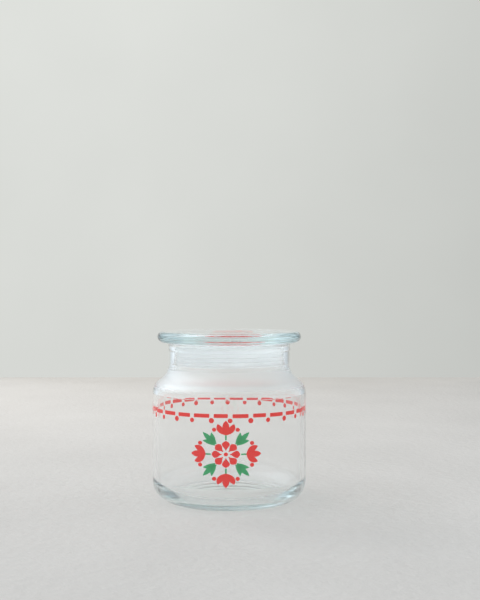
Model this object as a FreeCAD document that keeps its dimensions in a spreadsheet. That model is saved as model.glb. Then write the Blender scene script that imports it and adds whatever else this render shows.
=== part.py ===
import FreeCAD, Part
import math
import os
import Sketcher

# A storage jar of clear glass with a flat glass lid. Three pieces, all turned about one upright axis:
# the jar, the lid with the hollow plug under it, and the soft ring that seals the plug in the mouth.
# Millimetres. The origin is the middle of the ring that the jar stands on, and +Z is up.

DIMENSIONS = {
    # jar: body and base
    "body_radius": 50.3,
    "wall_thickness": 3.1,
    "heel_radius": 12.5,
    "inner_heel_radius": 9.0,
    "base_thickness": 6.0,
    "punt_radius": 34.0,
    "punt_rise": 1.6,
    # jar: shoulder and neck
    "shoulder_radius": 10.5,
    "shoulder_height": 69.7,
    "neck_root_radius": 12.0,
    "neck_radius": 39.6,
    # jar: the lip, a low band standing proud of the neck
    "lip_height": 102.2,
    "lip_proud": 0.45,
    "lip_band_height": 5.0,
    "lip_step_radius": 0.8,
    "lip_outer_radius": 1.6,
    "lip_inner_radius": 1.1,
    # lid
    "lid_radius": 47.1,
    "lid_thickness": 7.0,
    "crown_thickness": 7.5,
    "lid_edge_radius": 3.4,
    "plug_radius": 33.6,
    "plug_wall": 5.0,
    "plug_depth": 13.0,
    "plug_fillet": 1.2,
    # seal
    "seal_clearance": 0.05,
    "flange_thickness": 0.7,
    "sleeve_wall": 1.2,
    "sleeve_below_plug": 2.0,
    "sleeve_toe_radius": 0.5,
    "fin_count": 5,
    "fin_pitch": 2.6,
    "fin_drop": 2.6,
    "fin_root_height": 1.1,
    "fin_tip_height": 0.5,
    "fin_lift": 0.6,
    "fin_gap": 0.1,
}

# The sketcher's own numbers for a piece's points and for the sketch's origin and axes.
START, END, CENTRE = 1, 2, 3
ORIGIN = (-1, START)
RADIUS_AXIS = -1
TURNING_AXIS = -2


def make_sheet(doc):
    """The spreadsheet of driving dimensions, one row each, with the dimension's name as alias."""
    sheet = doc.addObject("Spreadsheet::Sheet", "Dimensions")
    for row, (name, value) in enumerate(DIMENSIONS.items(), start=1):
        sheet.set(f"A{row}", name)
        sheet.set(f"B{row}", str(value))
        sheet.setAlias(f"B{row}", name)
    doc.recompute()
    return sheet


def sized(expression):
    """An expression over the sheet's names, written as FreeCAD writes it."""
    words = expression.split()
    return " ".join(f"Dimensions.{word}" if word in DIMENSIONS else word for word in words)


def point(radius, height):
    return FreeCAD.Vector(radius, height, 0)


class Section:
    """Half of a turned piece's cross section: a closed outline of lines and arcs, run in order."""

    def __init__(self, body, name):
        self.sketch = body.newObject("Sketcher::SketchObject", name)
        planes = [plane for plane in body.Origin.OriginFeatures if plane.Role == "XZ_Plane"]
        self.sketch.AttachmentSupport = [(planes[0], "")]
        self.sketch.MapMode = "FlatFace"
        self.pieces = {}

    def line(self, name, start, end):
        curve = Part.LineSegment(point(*start), point(*end))
        self.pieces[name] = (self.sketch.addGeometry(curve), START, END)

    def arc(self, name, centre, radius, first, last):
        """An arc from angle first to angle last in degrees, turning either way."""
        circle = Part.Circle(point(*centre), FreeCAD.Vector(0, 0, 1), radius)
        low, high = sorted((first, last))
        curve = Part.ArcOfCircle(circle, math.radians(low), math.radians(high))
        ends = (START, END) if first < last else (END, START)
        self.pieces[name] = (self.sketch.addGeometry(curve), *ends)

    def close(self, corners):
        """Join each piece to the next, smoothly except after the pieces named in corners."""
        names = list(self.pieces)
        for name, following in zip(names, names[1:] + names[:1]):
            piece, _, piece_end = self.pieces[name]
            other, other_start, _ = self.pieces[following]
            kind = "Coincident" if name in corners else "Tangent"
            self.sketch.addConstraint(Sketcher.Constraint(kind, piece, piece_end, other, other_start))

    def upright(self, *names):
        for name in names:
            self.sketch.addConstraint(Sketcher.Constraint("Vertical", self.pieces[name][0]))

    def level(self, *names):
        for name in names:
            self.sketch.addConstraint(Sketcher.Constraint("Horizontal", self.pieces[name][0]))

    def on_axis(self, name, place, axis):
        piece = self.pieces[name][0]
        self.sketch.addConstraint(Sketcher.Constraint("PointOnObject", piece, place, axis))

    def size(self, kind, name, place, expression):
        """Bind a radius, or a point's distance from the origin across (DistanceX) or up (DistanceY)."""
        piece = self.pieces[name][0]
        label = f"{name}_{kind}_{place}"
        if kind == "Radius":
            constraint = Sketcher.Constraint(kind, piece, self.sketch.Geometry[piece].Radius)
        else:
            spot = self.sketch.getPoint(piece, place)
            distance = spot.x if kind == "DistanceX" else spot.y
            constraint = Sketcher.Constraint(kind, *ORIGIN, piece, place, distance)
        number = self.sketch.addConstraint(constraint)
        self.sketch.renameConstraint(number, label)
        self.sketch.setExpression(f"Constraints.{label}", sized(expression))

    def radius(self, name, expression):
        self.size("Radius", name, CENTRE, expression)

    def across(self, name, place, expression):
        self.size("DistanceX", name, place, expression)

    def up(self, name, place, expression):
        self.size("DistanceY", name, place, expression)


def turn(body, section, name):
    """Turn a section a full circle about the jar's axis."""
    feature = body.newObject("PartDesign::Revolution", name)
    feature.Profile = section.sketch
    feature.ReferenceAxis = (section.sketch, ["V_Axis"])
    feature.Angle = 360.0
    section.sketch.Visibility = False
    return feature


def double_bend(across, radius, other_radius):
    """Two arcs that meet in an S: how far apart their centres stand in height, and at what angle."""
    rise = math.sqrt((radius + other_radius) ** 2 - across ** 2)
    return rise, math.degrees(math.atan2(rise, across))


def jar_outside(section, size):
    """From the middle of the underside, out round the heel and up to the lip's inner edge."""
    body = size["body_radius"]
    heel = size["heel_radius"]
    shoulder = size["shoulder_radius"]
    shoulder_height = size["shoulder_height"]
    neck = size["neck_radius"]
    root = size["neck_root_radius"]
    step = size["lip_step_radius"]
    lip = neck + size["lip_proud"]
    lip_top = size["lip_height"]
    outer = size["lip_outer_radius"]
    inner = size["lip_inner_radius"]
    mouth = neck - size["wall_thickness"]

    punt = size["punt_radius"]
    rise = size["punt_rise"]
    dome = (punt ** 2 + rise ** 2) / (2 * rise)
    dome_edge = math.degrees(math.acos(punt / dome))
    section.arc("punt", (0, rise - dome), dome, 90, dome_edge)
    section.line("foot", (punt, 0), (body - heel, 0))
    section.arc("heel", (body - heel, heel), heel, -90, 0)
    section.line("wall", (body, heel), (body, shoulder_height))

    root_rise, bend = double_bend(neck + root - body + shoulder, shoulder, root)
    root_height = shoulder_height + root_rise
    section.arc("shoulder", (body - shoulder, shoulder_height), shoulder, 0, bend)
    section.arc("root", (neck + root, root_height), root, 180 + bend, 180)

    step_rise, step_bend = double_bend(2 * step - size["lip_proud"], step, step)
    band_start = lip_top - size["lip_band_height"]
    section.line("neck", (neck, root_height), (neck, band_start))
    section.arc("step_out", (neck + step, band_start), step, 180, 180 - step_bend)
    section.arc("step_up", (lip - step, band_start + step_rise), step, -step_bend, 0)
    section.line("band", (lip, band_start + step_rise), (lip, lip_top - outer))
    section.arc("lip_outer", (lip - outer, lip_top - outer), outer, 0, 90)
    section.line("lip_top", (lip - outer, lip_top), (mouth + inner, lip_top))
    section.arc("lip_inner", (mouth + inner, lip_top - inner), inner, 90, 180)


def jar_inside(section, size):
    """From the mouth down the inside to the floor, and back to the axis."""
    thick = size["wall_thickness"]
    body = size["body_radius"]
    shoulder = size["shoulder_radius"]
    shoulder_height = size["shoulder_height"]
    neck = size["neck_radius"]
    root = size["neck_root_radius"]
    heel = size["inner_heel_radius"]
    floor = size["base_thickness"]
    mouth = neck - thick

    root_rise, bend = double_bend(neck + root - body + shoulder, shoulder, root)
    root_height = shoulder_height + root_rise
    mouth_top = size["lip_height"] - size["lip_inner_radius"]
    section.line("mouth", (mouth, mouth_top), (mouth, root_height))
    section.arc("inner_root", (neck + root, root_height), root + thick, 180, 180 + bend)
    section.arc("inner_shoulder", (body - shoulder, shoulder_height), shoulder - thick, bend, 0)
    section.line("inner_wall", (body - thick, shoulder_height), (body - thick, floor + heel))
    section.arc("inner_heel", (body - thick - heel, floor + heel), heel, 0, -90)
    section.line("floor", (body - thick - heel, floor), (0, floor))
    section.line("axis", (0, floor), (0, size["punt_rise"]))


def size_jar(section):
    """Tie the jar's outline to the sheet."""
    section.close(corners=("punt", "floor", "axis"))
    section.upright("wall", "neck", "band", "mouth", "inner_wall")
    section.level("lip_top", "floor")
    section.on_axis("axis", START, TURNING_AXIS)
    section.on_axis("axis", END, TURNING_AXIS)
    section.on_axis("foot", START, RADIUS_AXIS)
    section.on_axis("foot", END, RADIUS_AXIS)
    section.on_axis("punt", CENTRE, TURNING_AXIS)

    section.up("axis", END, "punt_rise")
    section.across("foot", START, "punt_radius")
    section.radius("heel", "heel_radius")
    section.across("wall", START, "body_radius")
    section.radius("shoulder", "shoulder_radius")
    section.up("wall", END, "shoulder_height")
    section.radius("root", "neck_root_radius")
    section.across("neck", START, "neck_radius")

    section.up("neck", END, "lip_height - lip_band_height")
    section.radius("step_out", "lip_step_radius")
    section.radius("step_up", "lip_step_radius")
    section.across("band", START, "neck_radius + lip_proud")
    section.radius("lip_outer", "lip_outer_radius")
    section.up("lip_top", START, "lip_height")
    section.radius("lip_inner", "lip_inner_radius")

    section.across("mouth", START, "neck_radius - wall_thickness")
    section.radius("inner_root", "neck_root_radius + wall_thickness")
    section.radius("inner_shoulder", "shoulder_radius - wall_thickness")
    section.up("inner_wall", START, "shoulder_height")
    section.across("inner_wall", START, "body_radius - wall_thickness")
    section.radius("inner_heel", "inner_heel_radius")
    section.up("floor", START, "base_thickness")


def make_jar(doc, size):
    body = doc.addObject("PartDesign::Body", "jar")
    section = Section(body, "jar_section")
    jar_outside(section, size)
    jar_inside(section, size)
    size_jar(section)
    turn(body, section, "jar_turned")
    return body


def make_lid(doc, size):
    """A flat disc with a rounded edge, and a hollow plug standing down from its underside."""
    under = size["lip_height"] + size["flange_thickness"] + 2 * size["seal_clearance"]
    top = under + size["lid_thickness"]
    ceiling = top - size["crown_thickness"]
    rim = size["lid_radius"]
    edge = size["lid_edge_radius"]
    plug = size["plug_radius"]
    thick = size["plug_wall"]
    fillet = size["plug_fillet"]
    toe = thick / 2
    bottom = under - size["plug_depth"]

    body = doc.addObject("PartDesign::Body", "lid")
    section = Section(body, "lid_section")
    section.line("axis", (0, ceiling), (0, top))
    section.line("top", (0, top), (rim - edge, top))
    section.arc("upper_edge", (rim - edge, top - edge), edge, 90, 0)
    section.line("edge", (rim, top - edge), (rim, under + edge))
    section.arc("lower_edge", (rim - edge, under + edge), edge, 0, -90)
    section.line("underside", (rim - edge, under), (plug + fillet, under))
    section.arc("outer_fillet", (plug + fillet, under - fillet), fillet, 90, 180)
    section.line("plug_outside", (plug, under - fillet), (plug, bottom + toe))
    section.arc("plug_toe", (plug - toe, bottom + toe), toe, 0, -180)
    section.line("plug_inside", (plug - thick, bottom + toe), (plug - thick, ceiling - fillet))
    section.arc("inner_fillet", (plug - thick - fillet, ceiling - fillet), fillet, 0, 90)
    section.line("recess", (plug - thick - fillet, ceiling), (0, ceiling))

    section.close(corners=("recess", "axis"))
    section.upright("edge", "plug_outside", "plug_inside")
    section.level("top", "underside", "recess")
    section.on_axis("axis", START, TURNING_AXIS)
    section.on_axis("axis", END, TURNING_AXIS)

    underside = "lip_height + flange_thickness + 2 * seal_clearance"
    section.up("axis", START, f"{underside} + lid_thickness - crown_thickness")
    section.up("axis", END, f"{underside} + lid_thickness")
    section.across("edge", START, "lid_radius")
    section.radius("upper_edge", "lid_edge_radius")
    section.radius("lower_edge", "lid_edge_radius")
    section.up("underside", START, underside)
    section.across("plug_outside", START, "plug_radius")
    section.radius("outer_fillet", "plug_fillet")
    section.radius("inner_fillet", "plug_fillet")
    section.across("plug_inside", START, "plug_radius - plug_wall")
    section.up("plug_toe", CENTRE, f"{underside} - plug_depth + plug_wall / 2")
    turn(body, section, "lid_turned")
    return body


def sleeve_section(body, size):
    """The seal without its fins: a sleeve round the plug, and a flange between lid and lip."""
    gap = size["seal_clearance"]
    toe = size["sleeve_toe_radius"]
    half = size["flange_thickness"] / 2
    inside = size["plug_radius"] + gap
    outside = inside + size["sleeve_wall"]
    flange_under = size["lip_height"] + gap
    flange_top = flange_under + size["flange_thickness"]
    bottom = flange_top + gap - size["plug_depth"] - size["sleeve_below_plug"]
    fillet = size["plug_fillet"]
    flange_edge = size["neck_radius"] - half
    corner = flange_top + gap - fillet

    section = Section(body, "sleeve_section")
    section.line("inside", (inside, bottom), (inside, corner))
    section.arc("corner", (inside - gap + fillet, corner), fillet - gap, 180, 90)
    section.line("flange_top", (inside - gap + fillet, flange_top), (flange_edge, flange_top))
    section.arc("flange_edge", (flange_edge, flange_top - half), half, 90, -90)
    section.line("flange_under", (flange_edge, flange_under), (outside, flange_under))
    section.line("outside", (outside, flange_under), (outside, bottom + toe))
    section.arc("toe", (outside - toe, bottom + toe), toe, 0, -90)
    section.line("bottom", (outside - toe, bottom), (inside, bottom))

    section.close(corners=("flange_under", "bottom"))
    section.upright("inside", "outside")
    section.level("flange_top", "bottom")
    underside = "lip_height + flange_thickness + 2 * seal_clearance"
    section.across("inside", START, "plug_radius + seal_clearance")
    section.radius("corner", "plug_fillet - seal_clearance")
    section.up("flange_top", START, "lip_height + seal_clearance + flange_thickness")
    section.across("flange_edge", CENTRE, "neck_radius - flange_thickness / 2")
    section.up("flange_under", START, "lip_height + seal_clearance")
    section.up("flange_under", END, "lip_height + seal_clearance")
    section.across("outside", START, "plug_radius + seal_clearance + sleeve_wall")
    section.radius("toe", "sleeve_toe_radius")
    section.up("bottom", START, f"{underside} - plug_depth - sleeve_below_plug")
    return section


def fin_section(body, size):
    """The uppermost fin: it tapers from the sleeve to a round tip, bent up a little by the mouth."""
    sleeve = size["plug_radius"] + size["seal_clearance"] + size["sleeve_wall"]
    root = sleeve - size["sleeve_wall"] / 2
    half_root = size["fin_root_height"] / 2
    half_tip = size["fin_tip_height"] / 2
    middle = size["lip_height"] - size["fin_drop"]
    tip_middle = middle + size["fin_lift"]
    tip = size["neck_radius"] - size["wall_thickness"] - size["fin_gap"] - half_tip

    section = Section(body, "fin_section")
    section.line("under", (root, middle - half_root), (tip, tip_middle - half_tip))
    section.arc("tip", (tip, tip_middle), half_tip, -90, 90)
    section.line("over", (tip, tip_middle + half_tip), (root, middle + half_root))
    section.line("root", (root, middle + half_root), (root, middle - half_root))

    section.close(corners=("over", "root"))
    section.upright("root")
    section.across("root", START, "plug_radius + seal_clearance + sleeve_wall / 2")
    section.up("root", START, "lip_height - fin_drop + fin_root_height / 2")
    section.up("root", END, "lip_height - fin_drop - fin_root_height / 2")
    section.across("tip", CENTRE, "neck_radius - wall_thickness - fin_gap - fin_tip_height / 2")
    section.up("tip", CENTRE, "lip_height - fin_drop + fin_lift")
    section.radius("tip", "fin_tip_height / 2")
    return section


def make_seal(doc, size):
    body = doc.addObject("PartDesign::Body", "lid_seal")
    turn(body, sleeve_section(body, size), "sleeve")
    fins = fin_section(body, size)
    fin = turn(body, fins, "fin")
    pattern = body.newObject("PartDesign::LinearPattern", "fins")
    pattern.Originals = [fin]
    pattern.Direction = (fins.sketch, ["V_Axis"])
    pattern.Reversed = True
    pattern.setExpression("Occurrences", sized("fin_count"))
    pattern.setExpression("Length", sized("fin_pitch * ( fin_count - 1 )"))
    body.Tip = pattern
    return body


def check(doc, bodies):
    """Stop if any feature failed, a sketch is loose, or a piece isn't one valid solid."""
    for thing in doc.Objects:
        if "Invalid" in thing.State or "Error" in thing.State:
            raise RuntimeError(f"{thing.Name} failed: {thing.State}")
        if thing.TypeId == "Sketcher::SketchObject" and not thing.FullyConstrained:
            raise RuntimeError(f"{thing.Name} isn't fully constrained")
    for body in bodies:
        shape = body.Shape
        if shape.isNull() or not shape.isValid() or len(shape.Solids) != 1:
            raise RuntimeError(f"{body.Label} isn't one valid solid")


def main():
    doc = FreeCAD.newDocument("glass_jar")
    make_sheet(doc)
    bodies = [make_jar(doc, DIMENSIONS), make_lid(doc, DIMENSIONS), make_seal(doc, DIMENSIONS)]
    doc.recompute()
    check(doc, bodies)

    os.makedirs("parts", exist_ok=True)
    for body in bodies:
        box = body.Shape.optimalBoundingBox()
        cubic_cm = body.Shape.Volume / 1000
        print(f"{body.Label}: {cubic_cm:.1f} cm3, {box.XLength:.1f} wide, {box.ZMin:.2f} to {box.ZMax:.2f}")
        body.Shape.exportStep(f"parts/{body.Label}.step")


main()
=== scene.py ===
import math
import random

import bpy
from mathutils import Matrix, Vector


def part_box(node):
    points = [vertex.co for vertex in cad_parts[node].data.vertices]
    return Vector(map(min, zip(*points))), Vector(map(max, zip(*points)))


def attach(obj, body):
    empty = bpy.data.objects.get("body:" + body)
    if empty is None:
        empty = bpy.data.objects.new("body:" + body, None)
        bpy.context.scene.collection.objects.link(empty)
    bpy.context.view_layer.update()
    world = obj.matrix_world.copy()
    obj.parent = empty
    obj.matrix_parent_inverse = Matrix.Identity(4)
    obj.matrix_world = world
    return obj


# The looks of a clear glass storage jar with a flat glass lid and a milky seal. The three CAD nodes
# keep their shapes and get their materials here; the fired-on prints are thin meshes made here.

MM = 0.001

# ---- the frame ----

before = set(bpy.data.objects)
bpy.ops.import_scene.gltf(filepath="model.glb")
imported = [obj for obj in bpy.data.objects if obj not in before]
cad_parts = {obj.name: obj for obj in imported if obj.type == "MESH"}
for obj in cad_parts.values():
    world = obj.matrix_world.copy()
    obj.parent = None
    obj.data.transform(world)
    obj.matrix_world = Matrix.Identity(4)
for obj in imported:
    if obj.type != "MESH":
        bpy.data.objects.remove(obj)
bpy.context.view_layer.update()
jar_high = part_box("jar")[1]
BODY_RADIUS = jar_high.x
JAR_HEIGHT = jar_high.z
LID_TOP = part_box("lid")[1].z

# ---- the prints: where they are and how large ----

INK_DEPTH = 0.05 * MM        # the ink is fused into the glass, this far under its face
INK_GRAIN = 1.2 * MM         # the longest side of the facets that an ink shape is made of

BORDER_LEVEL = 0.592 * JAR_HEIGHT    # the middle of the dashes
BORDER_PAIRS = 13                    # a long dash and a short one, over and over
BORDER_START = math.radians(1.3)     # the first narrow dot, from the middle of the front
LONG_DASH = 10.1 * MM
SHORT_DASH = 8.9 * MM
DASH_HEIGHT = 2.4 * MM
DASH_CORNER = 0.5 * MM
DOT_DROP = 2.9 * MM                  # from the middle of the dashes to the middle of the dots
SMALL_DOT = 1.45 * MM
LARGE_DOT = 1.65 * MM

MOTIF_LEVEL = 0.364 * JAR_HEIGHT     # the middle of the ornament on the front
MOTIF_SIDE = -1.5 * MM               # and how far it is to the side
MOTIF_HALF = 20.5 * MM               # from its middle to the tip of a flower
MOTIF_STRETCH = 1.08                 # how much wider than high it is
LID_MOTIF_RADIUS = 13.5 * MM
LID_MOTIF_SIDE = 2.5 * MM
LID_BARS = 12                        # in the ring round the rosette
LID_BAR_TURN = 12.5                  # degrees from the middle of a bar to its end

LEAST_SIDES = 12             # a small dot still has this many
ROOT_WIDTH = 0.06            # half the width of a petal at its root, and at its tip, as a share
TIP_WIDTH = 0.02             # of its full width
PETAL_FULLNESS = 0.8         # below 1 its sides swell more

RED = (0.90, 0.040, 0.033)
RED_DEEP = (0.80, 0.033, 0.027)
GREEN = (0.054, 0.405, 0.155)
GREEN_DEEP = (0.044, 0.335, 0.122)

# ---- the glass and the plastic ----

CLEAR = (1, 1, 1, 1)
GLASS_IOR = 1.52
GLASS_WAVINESS = 0.02 * MM
GLASS_SHADOW = (0.975, 0.98, 0.98, 1)
JAR_TINT = (0.30, 0.80, 0.82, 1)     # what a long path through the glass leaves
JAR_TINT_DENSITY = 3.2
LID_TINT = (0.20, 0.82, 0.86, 1)
LID_TINT_DENSITY = 2.4
JAR_UNEVEN = (       # bands where the skin is less smooth: from, to, how rough in the middle
    (0.69 * JAR_HEIGHT, 0.88 * JAR_HEIGHT, 0.28),    # where the shoulder is drawn in to the neck
    (-0.08 * JAR_HEIGHT, 0.14 * JAR_HEIGHT, 0.06),   # the heel and the base
)

MILKY_WHITE = (0.985, 0.99, 0.99, 1)
MILKY_CLEAR = (0.98, 0.99, 1.0, 1)
MILKY_IOR = 1.5
MILKY_DEPTH = 2.5 * MM               # how far light wanders in the plastic
MILKY_SCATTERED = 0.9                # the share of the light that wanders at all
MILKY_THROUGH = 0.6                  # the share that comes out on the other side
MILKY_OPEN = 0.05                    # the share that goes straight through
SATIN_ROUGHNESS = 0.4
INK_THROUGH = 0.3                    # how much the ink is lit from behind

# ---- the room ----

CAMERA_DISTANCE = 0.650
CAMERA_HEIGHT = 0.139
CAMERA_SIDE = 0.0071
CAMERA_TILT = 0.75           # degrees below level
CAMERA_LENS = 59.3
WALL_DISTANCE = 0.87         # from the jar's axis to the wall behind it
WALL_HALF = 0.42             # half the width of the wall: the room is open beside it
STAGE_REACH = 3.0
WALL_PAINTED_FALLOFF = (-0.15, 0.43)    # painted shade: the wall darkens from here to here, left to right, as the light falls off away from the left
WALL_FOOT = 0.96             # how bright it is seen at its foot
WALL_PAINTED_RISE = 0.16             # and how much brighter for each metre up: painted light
WALL_MOTTLE = 0.08           # how uneven its plaster is
WALL_PAINTED_GLOW = 1.85             # the wall glows though it is no lamp: how much of this painted light it gives to what stands before it

WALL_COLOUR = (0.655, 0.670, 0.650, 1)
# the wall's colour with painted light on the left and painted shade on the right
WALL_COLOUR_PAINTED_LIT = (0.70, 0.715, 0.685, 1)
WALL_COLOUR_PAINTED_SHADE = (0.566, 0.58, 0.555, 1)
FLOOR_COLOUR_LOW = (0.489, 0.455, 0.428, 1)
FLOOR_COLOUR_HIGH = (0.565, 0.527, 0.497, 1)
FLOOR_RELIEF = 0.9 * MM      # how deep its fine grain is

ROOM_COLOUR = (0.86, 0.94, 1.0, 1)
ROOM_DARKEST = 0.56
ROOM_GLOWS = (               # towards, where the glow starts and is full (as cosines), how bright
    ((-1.0, -0.10, 0.15), 0.1, 0.90, 0.78),
    ((1.0, 0.0, 0.05), 0.4, 0.95, 0.60),
    ((0.0, 0.0, 1.0), 0.3, 1.0, 0.20),
    ((0.0, -1.0, 0.1), 0.2, 1.0, 0.28),
    ((-0.70, 0.36, 0.92), 0.74, 1.0, 1.40),
)
LAMP_PLACE = (-0.50, 0.54, 0.60)     # a soft lamp whose light falls off over the floor
LAMP_SIZE = 0.4
LAMP_POWER = 1.5
LAMP_COLOUR = (1.0, 0.95, 0.88)
LIGHT_BOUNCES = 32
MIRROR_BOUNCES = 16


# ---- node helpers ----

def new_material(name):
    """A material with an empty node tree, and the node that it ends in."""
    material = bpy.data.materials.new(name)
    material.use_nodes = True
    material.node_tree.nodes.clear()
    return material, material.node_tree, material.node_tree.nodes.new("ShaderNodeOutputMaterial")


def put(tree, socket, value):
    """Link a socket into an input, or store a number or colour there."""
    if isinstance(value, bpy.types.NodeSocket):
        tree.links.new(value, socket)
    else:
        socket.default_value = value


def add_node(tree, kind, **inputs):
    """A node with its named inputs filled."""
    node = tree.nodes.new(kind)
    for name, value in inputs.items():
        put(tree, node.inputs[name.replace("_", " ")], value)
    return node


def in_order(tree, node, *values):
    """Fill a node's inputs from the first one on, and give its first output."""
    for socket, value in zip(node.inputs, values):
        put(tree, socket, value)
    return node.outputs[0]


def maths(tree, operation, first, second):
    node = tree.nodes.new("ShaderNodeMath")
    node.operation = operation
    return in_order(tree, node, first, second)


def mix_shaders(tree, share, first, second):
    return in_order(tree, tree.nodes.new("ShaderNodeMixShader"), share, first, second)


def mix_colours(tree, share, first, second):
    node = tree.nodes.new("ShaderNodeMix")
    node.data_type = "RGBA"
    put(tree, node.inputs["Factor"], share)
    put(tree, node.inputs["A"], first)
    put(tree, node.inputs["B"], second)
    return node.outputs["Result"]


def noise(tree, scale, detail, stretch=(1, 1, 1)):
    """Noise over the object's own space, in features per metre."""
    place = tree.nodes.new("ShaderNodeTexCoord")
    mapping = add_node(tree, "ShaderNodeMapping", Vector=place.outputs["Object"], Scale=stretch)
    node = add_node(
        tree, "ShaderNodeTexNoise", Vector=mapping.outputs[0], Scale=scale, Detail=detail
    )
    return node.outputs[0]


def bumps(tree, height, distance):
    node = add_node(tree, "ShaderNodeBump", Height=height, Strength=1.0, Distance=distance)
    return node.outputs[0]


# ---- materials ----

def glass(name, tint, density, uneven=()):
    """Clear glass that takes a little red out of long paths, and throws only a pale shadow.
    In its uneven bands the skin is less smooth."""
    material, tree, output = new_material(name)
    wave = noise(tree, scale=38, detail=1.0, stretch=(1, 1, 0.6))
    shader = add_node(tree, "ShaderNodeBsdfPrincipled", Normal=bumps(tree, wave, GLASS_WAVINESS))
    shader.inputs["Base Color"].default_value = CLEAR
    shader.inputs["IOR"].default_value = GLASS_IOR
    put(tree, shader.inputs["Roughness"], skin_roughness(tree, uneven))
    shader.inputs["Transmission Weight"].default_value = 1.0

    path = tree.nodes.new("ShaderNodeLightPath")
    clear = add_node(tree, "ShaderNodeBsdfTransparent", Color=GLASS_SHADOW)
    lit = maths(tree, "MAXIMUM", path.outputs["Is Shadow Ray"], path.outputs["Is Diffuse Ray"])
    surface = mix_shaders(tree, lit, shader.outputs[0], clear.outputs[0])
    volume = add_node(tree, "ShaderNodeVolumeAbsorption", Color=tint, Density=density)
    tree.links.new(surface, output.inputs["Surface"])
    tree.links.new(volume.outputs[0], output.inputs["Volume"])
    return material


def skin_roughness(tree, bands):
    """Smooth everywhere but around the middle of some bands of height."""
    place = tree.nodes.new("ShaderNodeSeparateXYZ")
    in_order(tree, place, tree.nodes.new("ShaderNodeTexCoord").outputs["Object"])
    result = 0.0
    for low, high, roughness in bands:
        middle = (low + high) / 2
        above = maths(tree, "SUBTRACT", place.outputs["Z"], middle)
        below = maths(tree, "SUBTRACT", middle, place.outputs["Z"])
        node = add_node(tree, "ShaderNodeMapRange", Value=maths(tree, "MAXIMUM", above, below))
        node.interpolation_type = "SMOOTHSTEP"
        node.inputs["From Min"].default_value = (high - low) / 4
        node.inputs["From Max"].default_value = (high - low) / 2
        node.inputs["To Min"].default_value = roughness
        node.inputs["To Max"].default_value = 0.0
        result = maths(tree, "MAXIMUM", result, node.outputs[0])
    return result


def milky_plastic():
    """Soft polyethylene: light gets into it and comes out scattered white."""
    material, tree, output = new_material("milky_plastic")
    grain = noise(tree, scale=900, detail=3.0)
    body = add_node(tree, "ShaderNodeBsdfPrincipled", Normal=bumps(tree, grain, 0.02 * MM))
    body.inputs["Base Color"].default_value = MILKY_WHITE
    body.inputs["Roughness"].default_value = SATIN_ROUGHNESS
    body.inputs["IOR"].default_value = MILKY_IOR
    body.inputs["Subsurface Weight"].default_value = MILKY_SCATTERED
    body.inputs["Subsurface Radius"].default_value = (1.0, 1.0, 1.0)
    body.inputs["Subsurface Scale"].default_value = MILKY_DEPTH
    through = add_node(tree, "ShaderNodeBsdfTranslucent", Color=MILKY_WHITE)
    clear = add_node(tree, "ShaderNodeBsdfTransparent", Color=MILKY_CLEAR)
    scattered = mix_shaders(tree, MILKY_THROUGH, body.outputs[0], through.outputs[0])
    surface = mix_shaders(tree, MILKY_OPEN, scattered, clear.outputs[0])
    tree.links.new(surface, output.inputs["Surface"])
    return material


def ink(name, colour, deeper):
    """Fired-on ink: a little uneven in depth, and faintly lit through from behind."""
    material, tree, output = new_material(name)
    patches = noise(tree, scale=420, detail=4.0)
    tint = mix_colours(tree, patches, (*deeper, 1), (*colour, 1))
    body = add_node(tree, "ShaderNodeBsdfPrincipled", Base_Color=tint)
    body.inputs["Roughness"].default_value = SATIN_ROUGHNESS
    through = add_node(tree, "ShaderNodeBsdfTranslucent", Color=tint)
    surface = mix_shaders(tree, INK_THROUGH, body.outputs[0], through.outputs[0])
    tree.links.new(surface, output.inputs["Surface"])
    return material


# ---- flat shapes: a shape is a grid of points across it, as rows of (x, y) ----

def steps(length, grain=INK_GRAIN):
    return max(2, math.ceil(length / grain))


def ribbon(spine, halves):
    """A band along a spine of points, with its half width at each one."""
    across = steps(2 * max(halves))
    rows = []
    for index, (point, half) in enumerate(zip(spine, halves)):
        before = spine[max(index - 1, 0)]
        after = spine[min(index + 1, len(spine) - 1)]
        run = (after - before).normalized()
        side = Vector((-run.y, run.x))
        rows.append([point + side * half * (2 * step / across - 1) for step in range(across + 1)])
    return rows


def heading(degrees):
    return Vector((math.cos(math.radians(degrees)), math.sin(math.radians(degrees))))


def disc(centre, radius):
    """A round shape, as rings from its middle to its rim."""
    turns = max(LEAST_SIDES, steps(2 * math.pi * radius))
    rings = steps(radius)
    rim = [heading(360 * step / turns) * radius for step in range(turns + 1)]
    return [[centre + point * (ring / rings) for point in rim] for ring in range(rings + 1)]


def blade(root, degrees, length, width, bend=0.0, blunt=1.0):
    """A petal or leaf from its root: it turns by bend degrees on its way, and a high blunt
    number makes its tip round."""
    count = steps(length, 0.5 * INK_GRAIN)
    spine = [root]
    halves = [ROOT_WIDTH * width]
    for step in range(1, count + 1):
        share = step / count
        spine.append(spine[-1] + heading(degrees + bend * (share - 0.5)) * (length / count))
        swell = math.sin(math.pi * share ** blunt)
        halves.append(max(TIP_WIDTH * width, 0.5 * width * swell ** PETAL_FULLNESS))
    return ribbon(spine, halves)


def dash(centre, length, height, corner):
    """A level bar with rounded corners."""
    ends = [corner * (1 - math.cos(math.pi * step / 8)) for step in range(5)]
    middle = steps(length - 2 * corner)
    offsets = ends[:-1]
    offsets += [corner + (length - 2 * corner) * step / middle for step in range(middle + 1)]
    offsets += [length - end for end in reversed(ends[:-1])]
    spine = []
    halves = []
    for offset in offsets:
        inward = min(offset, length - offset, corner)
        rise = math.sqrt(max(0.0, corner ** 2 - (corner - inward) ** 2))
        spine.append(centre + Vector((offset - length / 2, 0)))
        halves.append(height / 2 - corner + rise)
    return ribbon(spine, halves)


def turned(shape, degrees):
    """A shape turned about the middle of its ornament."""
    ahead = heading(degrees)
    side = Vector((-ahead.y, ahead.x))
    return [[ahead * point.x + side * point.y for point in row] for row in shape]


# ---- the ornaments ----

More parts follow.
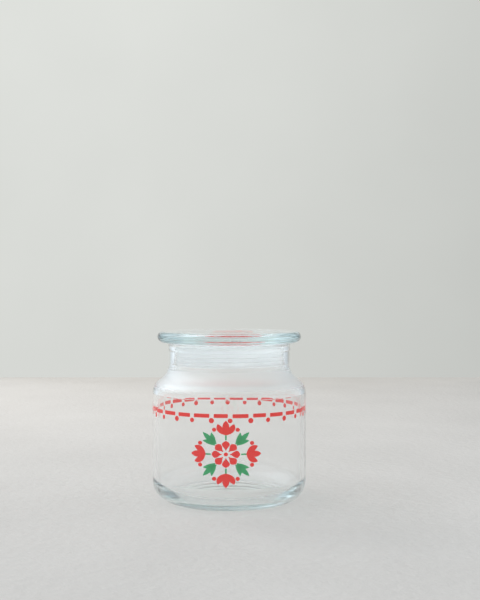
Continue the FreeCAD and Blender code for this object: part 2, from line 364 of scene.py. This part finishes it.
def border_shapes():
    """A ring of dashes, long and short in turn, with a dot hanging under each gap."""
    hand = random.Random(7)
    pair = 2 * math.pi / BORDER_PAIRS
    gap = (pair * BODY_RADIUS - LONG_DASH - SHORT_DASH) / 2
    shapes = []
    for index in range(BORDER_PAIRS):
        start = (BORDER_START + index * pair) * BODY_RADIUS
        far = start + gap + LONG_DASH
        for middle, length in (
            (start + (gap + LONG_DASH) / 2, LONG_DASH),
            (far + (gap + SHORT_DASH) / 2, SHORT_DASH),
        ):
            level = BORDER_LEVEL + hand.uniform(-0.12, 0.12) * MM
            uneven = length + hand.uniform(-0.3, 0.1) * MM
            shapes.append(dash(Vector((middle, level)), uneven, DASH_HEIGHT, DASH_CORNER))
        for place, radius in ((start, SMALL_DOT), (far, LARGE_DOT)):
            level = BORDER_LEVEL - DOT_DROP + hand.uniform(-0.15, 0.15) * MM
            shapes.append(disc(Vector((place, level)), radius))
    return shapes


def rosette(petals, inner, outer, width):
    """A ring of round petals about a bare middle."""
    shapes = []
    for index in range(petals):
        root = Vector((inner, 0))
        shapes.append(turned(blade(root, 0, outer - inner, width, blunt=1.6), 360 * index / petals))
    return shapes


def tulip(reach, size):
    """Three petals that open outwards, rooted at a distance from the middle."""
    root = Vector((reach, 0))
    return [
        blade(root, degrees=0, length=size, width=0.44 * size, blunt=1.3),
        blade(root, degrees=36, length=0.95 * size, width=0.40 * size, bend=-40, blunt=1.3),
        blade(root, degrees=-36, length=0.95 * size, width=0.40 * size, bend=40, blunt=1.3),
    ]


def front_red():
    """A rosette with four tulips round it, and a berry on either side of each."""
    half = MOTIF_HALF
    shapes = rosette(petals=8, inner=0.11 * half, outer=0.40 * half, width=0.22 * half)
    shapes.append(disc(Vector((0, 0)), radius=0.06 * half))
    for quarter in range(4):
        for petal in tulip(reach=0.57 * half, size=0.43 * half):
            shapes.append(turned(petal, 90 * quarter))
        for lean in (24, 66):
            berry = disc(Vector((0.80 * half, 0)), radius=0.062 * half)
            shapes.append(turned(berry, 90 * quarter + lean))
    return shapes


def front_green():
    """Four stalks, and between them four leaves of three points."""
    half = MOTIF_HALF
    shapes = []
    for quarter in range(4):
        stalk = [Vector((half * (0.42 + 0.16 * step / 4), 0)) for step in range(5)]
        shapes.append(turned(ribbon(stalk, [0.022 * half] * 5), 90 * quarter))
        diagonal = 90 * quarter + 45
        tip = blade(Vector((0.42 * half, 0)), degrees=0, length=0.50 * half, width=0.15 * half)
        shapes.append(turned(tip, diagonal))
        for side in (1, -1):
            root = Vector((0.40 * half, 0.03 * half * side))
            leaf = blade(root, 22 * side, length=0.38 * half, width=0.13 * half, bend=44 * side)
            shapes.append(turned(leaf, diagonal))
    return shapes


def lid_shapes():
    """A rosette inside a ring of broad bars."""
    radius = LID_MOTIF_RADIUS
    shapes = rosette(petals=8, inner=0.12 * radius, outer=0.62 * radius, width=0.40 * radius)
    shapes.append(disc(Vector((0, 0)), radius=0.07 * radius))
    for index in range(LID_BARS):
        turn = 360 * (index + 0.5) / LID_BARS
        arc = [heading(LID_BAR_TURN * (2 * step / 8 - 1)) * 0.85 * radius for step in range(9)]
        shapes.append(turned(ribbon(arc, [0.15 * radius] * 9), turn))
    return shapes


def round_the_body(across, level):
    """Bend a flat point round the jar: across runs from the middle of the front."""
    angle = across / BODY_RADIUS
    radius = BODY_RADIUS - INK_DEPTH
    return (radius * math.sin(angle), -radius * math.cos(angle), level)


def on_the_front(point):
    return round_the_body(MOTIF_STRETCH * point.x + MOTIF_SIDE, point.y + MOTIF_LEVEL)


def on_the_border(point):
    return round_the_body(point.x, point.y)


def under_the_lid_top(point):
    return (point.x + LID_MOTIF_SIDE, point.y, LID_TOP - INK_DEPTH)


def add_print(name, shapes, place, material):
    """One mesh of many shapes, each put in its place on the glass."""
    corners = []
    faces = []
    for shape in shapes:
        start = len(corners)
        width = len(shape[0])
        for row in shape:
            corners += [place(point) for point in row]
        for row in range(len(shape) - 1):
            for column in range(width - 1):
                corner = start + row * width + column
                faces.append((corner, corner + 1, corner + width + 1, corner + width))
    mesh = bpy.data.meshes.new(name)
    mesh.from_pydata(corners, [], faces)
    mesh.materials.append(material)
    piece = link(bpy.data.objects.new(name, mesh))
    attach(piece, "root")


# ---- camera, light and stage ----

def link(thing):
    bpy.context.scene.collection.objects.link(thing)
    return thing


def add_camera():
    data = bpy.data.cameras.new("camera")
    data.lens = CAMERA_LENS
    camera = link(bpy.data.objects.new("camera", data))
    camera.location = (CAMERA_SIDE, -CAMERA_DISTANCE, CAMERA_HEIGHT)
    camera.rotation_euler = (math.radians(90 - CAMERA_TILT), 0, 0)
    bpy.context.scene.camera = camera


def seen_rays(tree):
    """1 for rays that the eye follows: straight, mirrored or through glass."""
    path = tree.nodes.new("ShaderNodeLightPath")
    seen = maths(tree, "MAXIMUM", path.outputs["Is Camera Ray"], path.outputs["Is Glossy Ray"])
    return maths(tree, "MAXIMUM", seen, path.outputs["Is Transmission Ray"])


def facing(tree, direction, towards, low, high):
    """How far a direction points towards a given way: 0 below low, 1 above high, smooth between."""
    dot = tree.nodes.new("ShaderNodeVectorMath")
    dot.operation = "DOT_PRODUCT"
    in_order(tree, dot, direction, Vector(towards).normalized())
    node = add_node(tree, "ShaderNodeMapRange", Value=dot.outputs["Value"])
    node.interpolation_type = "SMOOTHSTEP"
    node.inputs["From Min"].default_value = low
    node.inputs["From Max"].default_value = high
    return node.outputs[0]


def add_room_light():
    """A pale room that glows softly from some sides, most from the upper left."""
    world = bpy.data.worlds.new("room")
    world.use_nodes = True
    tree = world.node_tree
    tree.nodes.clear()
    direction = tree.nodes.new("ShaderNodeTexCoord").outputs["Generated"]
    level = ROOM_DARKEST
    for towards, low, high, gain in ROOM_GLOWS:
        glow = maths(tree, "MULTIPLY", facing(tree, direction, towards, low, high), gain)
        level = maths(tree, "ADD", level, glow)
    light = add_node(tree, "ShaderNodeBackground", Color=ROOM_COLOUR, Strength=level)
    plain = add_node(tree, "ShaderNodeBackground", Color=WALL_COLOUR, Strength=1.0)
    path = tree.nodes.new("ShaderNodeLightPath")
    shader = mix_shaders(tree, path.outputs["Is Camera Ray"], light.outputs[0], plain.outputs[0])
    tree.links.new(shader, tree.nodes.new("ShaderNodeOutputWorld").inputs["Surface"])
    bpy.context.scene.world = world


def add_lamp():
    data = bpy.data.lights.new("soft_lamp", "AREA")
    data.size = LAMP_SIZE
    data.energy = LAMP_POWER
    data.color = LAMP_COLOUR
    lamp = link(bpy.data.objects.new("soft_lamp", data))
    lamp.location = LAMP_PLACE
    lamp.rotation_euler = Vector(LAMP_PLACE).to_track_quat("Z", "Y").to_euler()
    lamp.visible_camera = False
    lamp.visible_glossy = False
    lamp.visible_transmission = False


def sheet(name, corners, material):
    mesh = bpy.data.meshes.new(name)
    mesh.from_pydata(corners, [], [range(len(corners))])
    mesh.materials.append(material)
    link(bpy.data.objects.new(name, mesh))


def pale_floor():
    material, tree, output = new_material("pale_floor")
    tone = mix_colours(tree, noise(tree, scale=9, detail=3.0), FLOOR_COLOUR_LOW, FLOOR_COLOUR_HIGH)
    relief = bumps(tree, noise(tree, scale=160, detail=5.0), FLOOR_RELIEF)
    body = add_node(tree, "ShaderNodeBsdfDiffuse", Color=tone, Normal=relief)
    tree.links.new(body.outputs[0], output.inputs["Surface"])
    return material


def pale_wall():
    """Painted plaster, seen at its own colour with painted light on it: lighter on the left and
    higher up, as the light falls off. It glows though it is no lamp, and lights what stands before
    it.
    """
    material, tree, output = new_material("pale_wall")
    place = tree.nodes.new("ShaderNodeSeparateXYZ")
    in_order(tree, place, tree.nodes.new("ShaderNodeTexCoord").outputs["Object"])
    side = add_node(tree, "ShaderNodeMapRange", Value=place.outputs["X"])
    side.inputs["From Min"].default_value = WALL_PAINTED_FALLOFF[0]
    side.inputs["From Max"].default_value = WALL_PAINTED_FALLOFF[1]
    # painted light that falls off from left to right
    tone = mix_colours(tree, side.outputs[0], WALL_COLOUR_PAINTED_LIT, WALL_COLOUR_PAINTED_SHADE)
    # painted light: the wall is seen brighter higher up, with its plaster's mottle on top
    seen_brightness = maths(tree, "MULTIPLY", place.outputs["Z"], WALL_PAINTED_RISE)
    mottle = maths(tree, "MULTIPLY", noise(tree, scale=5, detail=4.0), WALL_MOTTLE)
    seen_brightness = maths(tree, "ADD", maths(tree, "ADD", seen_brightness, mottle), WALL_FOOT - WALL_MOTTLE / 2)
    seen = add_node(tree, "ShaderNodeEmission", Color=tone, Strength=seen_brightness)
    # a painted glow: the wall lights what stands before it, though it is no lamp
    painted_glow = add_node(tree, "ShaderNodeEmission", Color=tone, Strength=WALL_PAINTED_GLOW)
    surface = mix_shaders(tree, seen_rays(tree), painted_glow.outputs[0], seen.outputs[0])
    tree.links.new(surface, output.inputs["Surface"])
    return material


def add_stage():
    reach, back = STAGE_REACH, WALL_DISTANCE
    floor = [(-reach, -reach, 0), (reach, -reach, 0), (reach, back, 0), (-reach, back, 0)]
    side = WALL_HALF
    wall = [(-side, back, 0), (side, back, 0), (side, back, reach), (-side, back, reach)]
    sheet("floor", floor, pale_floor())
    sheet("wall", wall, pale_wall())


def let_light_through():
    """Light crosses many faces of glass before it is given up."""
    cycles = bpy.context.scene.cycles
    cycles.max_bounces = LIGHT_BOUNCES
    cycles.transmission_bounces = LIGHT_BOUNCES
    cycles.transparent_max_bounces = LIGHT_BOUNCES
    cycles.glossy_bounces = MIRROR_BOUNCES


# ---- the pieces ----

def paint(node, material):
    """Give a CAD node its finish."""
    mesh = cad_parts[node].data
    mesh.materials.clear()
    mesh.materials.append(material)


add_camera()
add_room_light()
add_lamp()
add_stage()
let_light_through()

paint("jar", glass("jar_glass", JAR_TINT, JAR_TINT_DENSITY, JAR_UNEVEN))
paint("lid", glass("lid_glass", LID_TINT, LID_TINT_DENSITY))
paint("lid_seal", milky_plastic())

red_ink = ink("red_ink", RED, RED_DEEP)
green_ink = ink("green_ink", GREEN, GREEN_DEEP)
add_print("print_border", border_shapes(), on_the_border, red_ink)
add_print("print_front_red", front_red(), on_the_front, red_ink)
add_print("print_front_green", front_green(), on_the_front, green_ink)
add_print("print_lid", lid_shapes(), under_the_lid_top, red_ink)

bpy.context.scene.view_settings.view_transform = "Standard"
